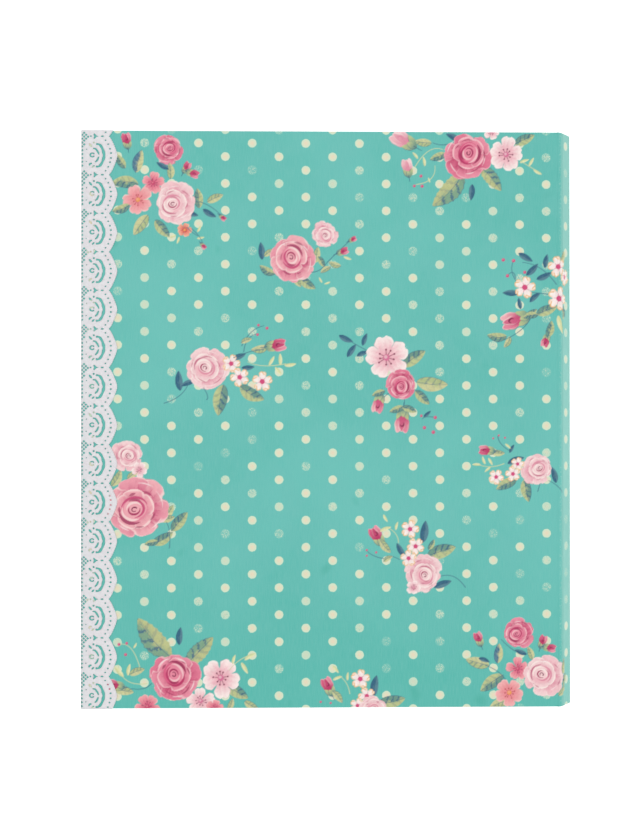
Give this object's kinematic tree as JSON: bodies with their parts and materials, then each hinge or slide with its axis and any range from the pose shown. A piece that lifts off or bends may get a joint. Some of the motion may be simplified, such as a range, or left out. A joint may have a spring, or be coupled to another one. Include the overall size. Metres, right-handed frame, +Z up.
{
  "type": "scrapbook album",
  "caption": "Closed A4 scrapbook album with a printed, lace-trimmed case cover over a four-ring mechanism that holds clear page protectors with card inserts.",
  "frame": {"origin": "middle of the closed album's footprint, on the surface that its back cover lies on", "axes": "+Z up through the closed album, +X towards the spine, +Y towards the head edge"},
  "size_m": [0.2724, 0.318, 0.0424],
  "materials": {
    "greyboard": "matte pressed greyboard",
    "printed_paper": "satin printed paper, mint with cream dots and flower sprays",
    "lining_paper": "matte lining paper",
    "cotton_lace": "openwork cotton lace",
    "nickel_plated_steel": "bright nickel plate",
    "clear_film": "clear polypropylene film",
    "page_card": "uncoated card"
  },
  "bodies": {
    "back_cover": {"back_board": "greyboard", "back_wrap": "printed_paper", "back_liner": "lining_paper", "ring_cover_plate": "nickel_plated_steel", "mechanism_rivets": "nickel_plated_steel", "lever_pins": "nickel_plated_steel"},
    "back_hinge_strip": {"back_hinge": "printed_paper"},
    "spine": {"spine_board": "greyboard", "spine_wrap": "printed_paper", "spine_liner": "lining_paper"},
    "front_hinge_strip": {"front_hinge": "printed_paper"},
    "front_cover": {"front_board": "greyboard", "front_wrap": "printed_paper", "front_liner": "lining_paper", "lace_trim": "cotton_lace"},
    "fore_rings": {"fore_blade": "nickel_plated_steel", "fore_ring_halves": "nickel_plated_steel"},
    "spine_side_rings": {"spine_side_blade": "nickel_plated_steel", "spine_side_ring_halves": "nickel_plated_steel"},
    "head_trigger": {"head_lever": "nickel_plated_steel"},
    "tail_trigger": {"tail_lever": "nickel_plated_steel"},
    "leaf_1": {"page_protector_1": "clear_film", "page_insert_1": "page_card"},
    "leaf_2": {"page_protector_2": "clear_film", "page_insert_2": "page_card"},
    "leaf_3": {"page_protector_3": "clear_film", "page_insert_3": "page_card"},
    "leaf_4": {"page_protector_4": "clear_film", "page_insert_4": "page_card"},
    "leaf_5": {"page_protector_5": "clear_film", "page_insert_5": "page_card"},
    "leaf_6": {"page_protector_6": "clear_film", "page_insert_6": "page_card"},
    "leaf_7": {"page_protector_7": "clear_film", "page_insert_7": "page_card"},
    "leaf_8": {"page_protector_8": "clear_film", "page_insert_8": "page_card"}
  },
  "joints": [
    {"name": "back_crease", "type": "hinge", "parent": "back_cover", "child": "back_hinge_strip", "pos_m": [0.1287, 0, 0], "axis": [0, 1, 0], "range_deg": [0, 55]},
    {"name": "spine_lower_crease", "type": "hinge", "parent": "back_hinge_strip", "child": "spine", "pos_m": [0.1362, 0, 0.0106], "axis": [0, 1, 0], "range_deg": [0, 35]},
    {"name": "spine_upper_crease", "type": "hinge", "parent": "spine", "child": "front_hinge_strip", "pos_m": [0.1362, 0, 0.0314], "axis": [0, 1, 0], "range_deg": [0, 35]},
    {"name": "front_crease", "type": "hinge", "parent": "front_hinge_strip", "child": "front_cover", "pos_m": [0.1287, 0, 0.042], "axis": [0, 1, 0], "range_deg": [0, 55]},
    {"name": "fore_rings_open", "type": "hinge", "parent": "back_cover", "child": "fore_rings", "pos_m": [0.0989, 0, 0.0049], "axis": [0, -1, 0], "range_deg": [0, 8]},
    {"name": "spine_side_rings_open", "type": "hinge", "parent": "back_cover", "child": "spine_side_rings", "pos_m": [0.1235, 0, 0.0049], "axis": [0, 1, 0], "range_deg": [0, 8]},
    {"name": "head_lever_press", "type": "hinge", "parent": "back_cover", "child": "head_trigger", "pos_m": [0.1112, 0.153, 0.006], "axis": [-1, 0, 0], "range_deg": [0, 24]},
    {"name": "tail_lever_press", "type": "hinge", "parent": "back_cover", "child": "tail_trigger", "pos_m": [0.1112, -0.153, 0.006], "axis": [1, 0, 0], "range_deg": [0, 24]},
    {"name": "page_turn_1", "type": "hinge", "parent": "back_cover", "child": "leaf_1", "pos_m": [0.1112, 0, 0.02], "axis": [0, 1, 0], "range_deg": [0, 1.55]},
    {"name": "page_turn_2", "type": "hinge", "parent": "back_cover", "child": "leaf_2", "pos_m": [0.1112, 0, 0.02], "axis": [0, 1, 0], "range_deg": [0, 4.05]},
    {"name": "page_turn_3", "type": "hinge", "parent": "back_cover", "child": "leaf_3", "pos_m": [0.1112, 0, 0.02], "axis": [0, 1, 0], "range_deg": [0, 7.55]},
    {"name": "page_turn_4", "type": "hinge", "parent": "back_cover", "child": "leaf_4", "pos_m": [0.1112, 0, 0.02], "axis": [0, 1, 0], "range_deg": [0, 12.05]},
    {"name": "page_turn_5", "type": "hinge", "parent": "back_cover", "child": "leaf_5", "pos_m": [0.1112, 0, 0.02], "axis": [0, 1, 0], "range_deg": [0, 180.31]},
    {"name": "page_turn_6", "type": "hinge", "parent": "back_cover", "child": "leaf_6", "pos_m": [0.1112, 0, 0.02], "axis": [0, 1, 0], "range_deg": [0, 180.47]},
    {"name": "page_turn_7", "type": "hinge", "parent": "back_cover", "child": "leaf_7", "pos_m": [0.1112, 0, 0.02], "axis": [0, 1, 0], "range_deg": [0, 180.64]},
    {"name": "page_turn_8", "type": "hinge", "parent": "back_cover", "child": "leaf_8", "pos_m": [0.1112, 0, 0.02], "axis": [0, 1, 0], "range_deg": [0, 180.84]}
  ],
  "couplings": [
    {"joint": "spine_lower_crease", "follows": "back_crease", "ratio": 0.636},
    {"joint": "spine_upper_crease", "follows": "back_crease", "ratio": 0.636},
    {"joint": "front_crease", "follows": "back_crease", "ratio": 1},
    {"joint": "spine_side_rings_open", "follows": "fore_rings_open", "ratio": 1},
    {"joint": "head_lever_press", "follows": "fore_rings_open", "ratio": 2.8},
    {"joint": "tail_lever_press", "follows": "fore_rings_open", "ratio": 2.8},
    {"joint": "page_turn_1", "follows": "back_crease", "ratio": 0.02727},
    {"joint": "page_turn_2", "follows": "back_crease", "ratio": 0.07273},
    {"joint": "page_turn_3", "follows": "back_crease", "ratio": 0.13636},
    {"joint": "page_turn_4", "follows": "back_crease", "ratio": 0.21818},
    {"joint": "page_turn_5", "follows": "back_crease", "ratio": 3.2774},
    {"joint": "page_turn_6", "follows": "back_crease", "ratio": 3.2804},
    {"joint": "page_turn_7", "follows": "back_crease", "ratio": 3.2834},
    {"joint": "page_turn_8", "follows": "back_crease", "ratio": 3.2871}
  ]
}
